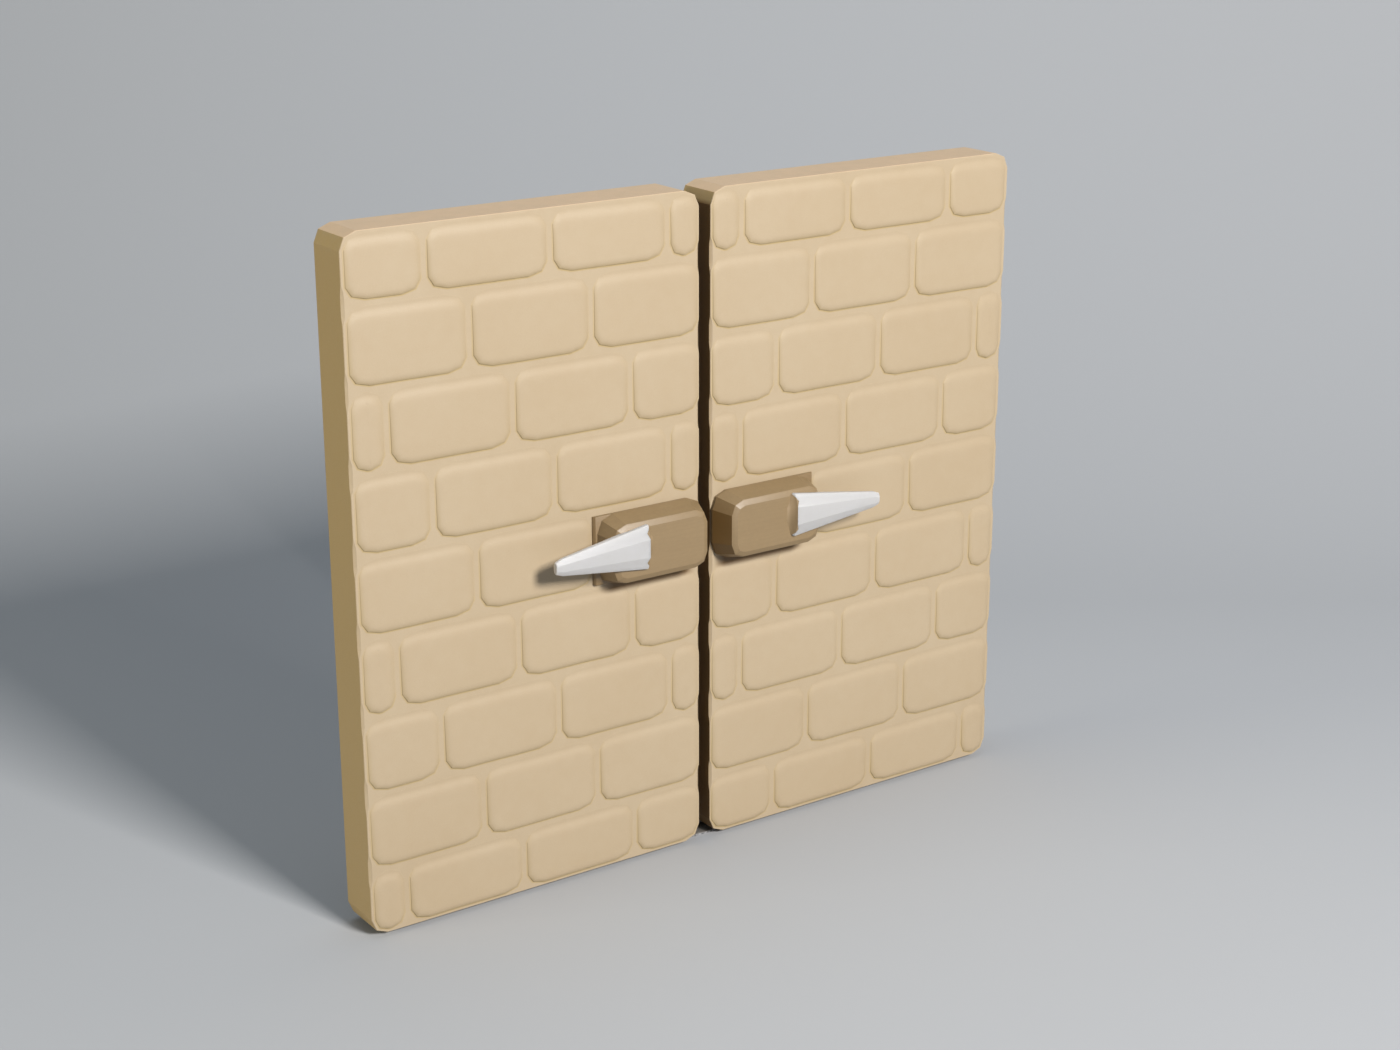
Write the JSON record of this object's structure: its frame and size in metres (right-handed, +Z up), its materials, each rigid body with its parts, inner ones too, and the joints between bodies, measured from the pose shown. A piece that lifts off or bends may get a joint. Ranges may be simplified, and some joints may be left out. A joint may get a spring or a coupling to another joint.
{
  "type": "double door",
  "caption": "Stone double door: thick leaves with raised brick relief on floor pivots, each with a tusk pull on a brown block.",
  "frame": {"origin": "centre of the threshold strip's underside, on the ground under the middle of the gap", "axes": "+X along the door, +Y from the front to the back, +Z up"},
  "size_m": [2.387, 0.2825, 2.112],
  "materials": {
    "leaf_stone": "matt",
    "relief_stone": "matt",
    "pull_wood": "matt",
    "tusk_bone": "satin",
    "pivot_steel": "turned",
    "washer_bronze": "turned",
    "threshold_steel": "satin"
  },
  "bodies": {
    "threshold": {"left_pivot_pin": "pivot_steel", "left_thrust_washer": "washer_bronze", "right_pivot_pin": "pivot_steel", "right_thrust_washer": "washer_bronze", "threshold_strip": "threshold_steel"},
    "left_leaf": {"left_back_lower_courses": "relief_stone", "left_back_middle_courses": "relief_stone", "left_back_upper_courses": "relief_stone", "left_front_course_1": "relief_stone", "left_front_course_2": "relief_stone", "left_front_course_3": "relief_stone", "left_front_course_4": "relief_stone", "left_front_course_5": "relief_stone", "left_front_course_6": "relief_stone", "left_front_course_7": "relief_stone", "left_front_course_8": "relief_stone", "left_front_course_9": "relief_stone", "left_leaf_slab": "leaf_stone", "left_pivot_shoe": "pivot_steel", "left_pull_block": "pull_wood", "left_pull_pad": "pull_wood", "left_tusk": "tusk_bone"},
    "right_leaf": {"right_back_lower_courses": "relief_stone", "right_back_middle_courses": "relief_stone", "right_back_upper_courses": "relief_stone", "right_front_course_1": "relief_stone", "right_front_course_2": "relief_stone", "right_front_course_3": "relief_stone", "right_front_course_4": "relief_stone", "right_front_course_5": "relief_stone", "right_front_course_6": "relief_stone", "right_front_course_7": "relief_stone", "right_front_course_8": "relief_stone", "right_front_course_9": "relief_stone", "right_leaf_slab": "leaf_stone", "right_pivot_shoe": "pivot_steel", "right_pull_block": "pull_wood", "right_pull_pad": "pull_wood", "right_tusk": "tusk_bone"}
  },
  "joints": [
    {"name": "left_leaf_pivot", "type": "hinge", "parent": "threshold", "child": "left_leaf", "pos_m": [-1.0835, 0, 0.012], "axis": [0, 0, -1], "range_deg": [0, 90]},
    {"name": "right_leaf_pivot", "type": "hinge", "parent": "threshold", "child": "right_leaf", "pos_m": [1.0835, 0, 0.012], "axis": [0, 0, 1], "range_deg": [0, 90]}
  ]
}
